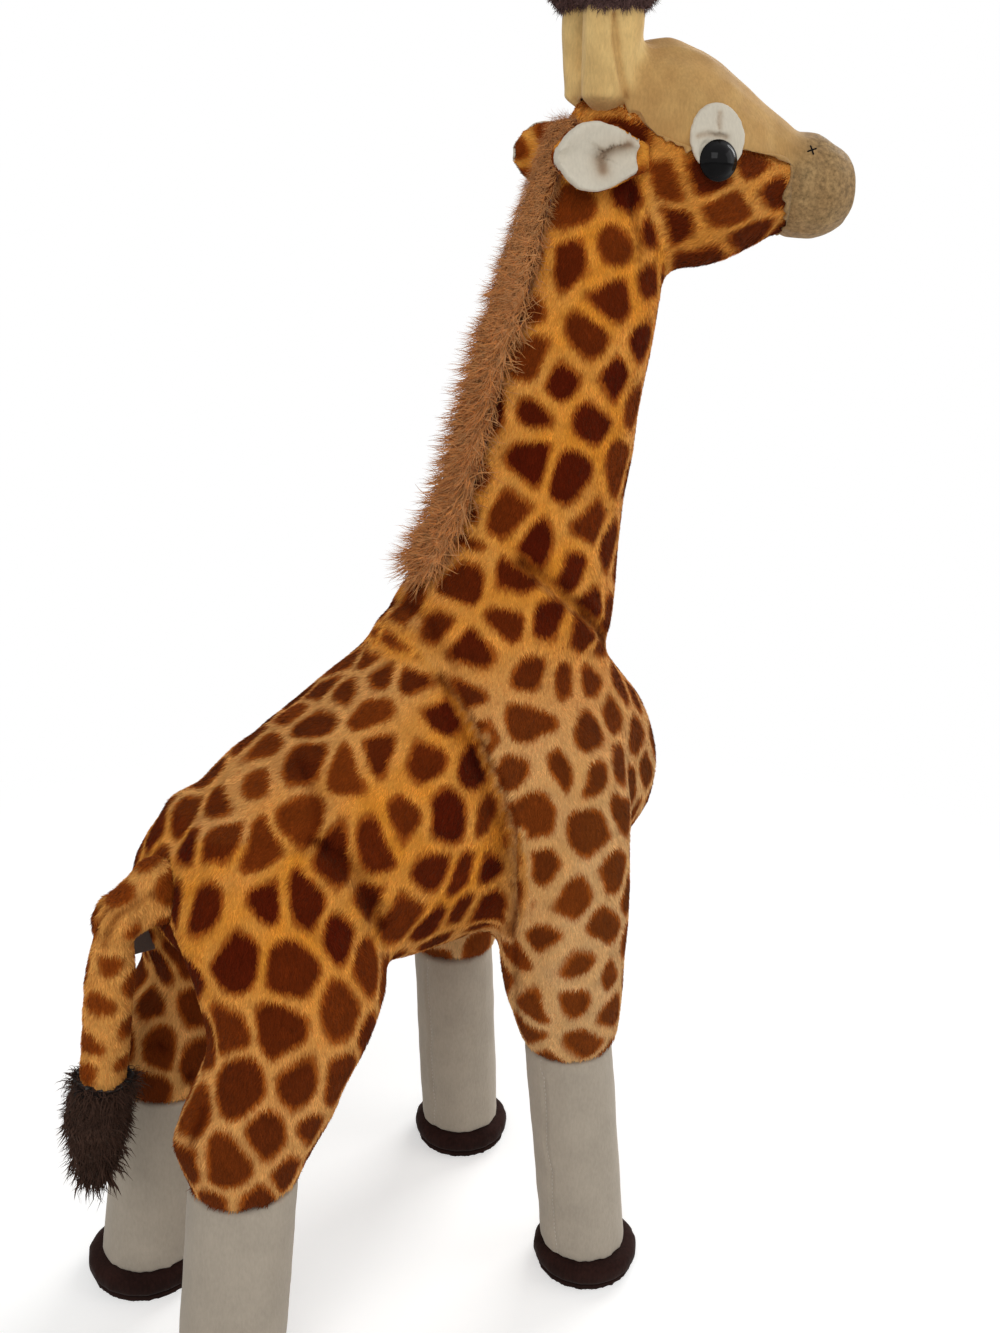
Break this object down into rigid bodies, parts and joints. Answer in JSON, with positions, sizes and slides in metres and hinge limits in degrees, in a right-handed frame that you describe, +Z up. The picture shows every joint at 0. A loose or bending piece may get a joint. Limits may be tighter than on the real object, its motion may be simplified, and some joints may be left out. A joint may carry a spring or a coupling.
{
  "type": "plush giraffe",
  "caption": "Standing plush giraffe with a printed spotted coat, white lower legs, brown hooves, domed eyes, furry mane and horn tufts, a hanging tufted tail and ears that flap.",
  "frame": {"origin": "middle of the space that the toy takes, at the height of its soles", "axes": "+X forwards, +Y towards the toy's left, +Z up"},
  "size_m": [0.4202, 0.1902, 0.6808],
  "materials": {
    "spotted_pile": "short dense pile, printed with dark patches",
    "tan_pile": "short pile, plain",
    "white_pile": "short pile, plain",
    "hoof_pile": "short pile, plain",
    "sole_cloth": "brushed cloth",
    "mane_fur": "long pile",
    "horn_fur": "long pile",
    "tail_fur": "long pile",
    "eye_black": "polished",
    "washer_plastic": "satin",
    "ribbon_satin": "satin ribbon"
  },
  "bodies": {
    "giraffe": {"torso": "spotted_pile", "neck": "spotted_pile", "front_left_upper_leg": "spotted_pile", "front_left_lower_leg": "white_pile", "front_left_hoof": "hoof_pile", "front_left_sole": "sole_cloth", "front_right_upper_leg": "spotted_pile", "front_right_lower_leg": "white_pile", "front_right_hoof": "hoof_pile", "front_right_sole": "sole_cloth", "rear_left_upper_leg": "spotted_pile", "rear_left_lower_leg": "white_pile", "rear_left_hoof": "hoof_pile", "rear_left_sole": "sole_cloth", "rear_right_upper_leg": "spotted_pile", "rear_right_lower_leg": "white_pile", "rear_right_hoof": "hoof_pile", "rear_right_sole": "sole_cloth", "cheeks": "spotted_pile", "forehead": "tan_pile", "muzzle": "tan_pile", "left_horn": "tan_pile", "left_horn_tuft": "horn_fur", "left_eye": "eye_black", "left_eye_washer": "washer_plastic", "left_eye_patch": "white_pile", "right_horn": "tan_pile", "right_horn_tuft": "horn_fur", "right_eye": "eye_black", "right_eye_washer": "washer_plastic", "right_eye_patch": "white_pile", "mane": "mane_fur", "ribbon_loop": "ribbon_satin"},
    "tail_base": {"tail_root": "spotted_pile"},
    "tail_length": {"tail": "spotted_pile", "tail_tuft": "tail_fur"},
    "left_ear": {"left_ear_back": "spotted_pile", "left_ear_lining": "white_pile"},
    "right_ear": {"right_ear_back": "spotted_pile", "right_ear_lining": "white_pile"}
  },
  "joints": [
    {"name": "tail_root_sway", "type": "hinge", "parent": "giraffe", "child": "tail_base", "pos_m": [-0.15759, 0, 0.257], "axis": [0, 0, 1], "range_deg": [-25, 25]},
    {"name": "tail_swing", "type": "hinge", "parent": "tail_base", "child": "tail_length", "pos_m": [-0.17859, 0, 0.248], "axis": [0, 1, 0], "range_deg": [-20, 20]},
    {"name": "left_ear_flap", "type": "hinge", "parent": "giraffe", "child": "left_ear", "pos_m": [0.10277, 0.02642, 0.585], "axis": [0, 0, -1], "range_deg": [0, 60]},
    {"name": "right_ear_flap", "type": "hinge", "parent": "giraffe", "child": "right_ear", "pos_m": [0.08398, -0.03141, 0.585], "axis": [0, 0, 1], "range_deg": [0, 60]}
  ]
}
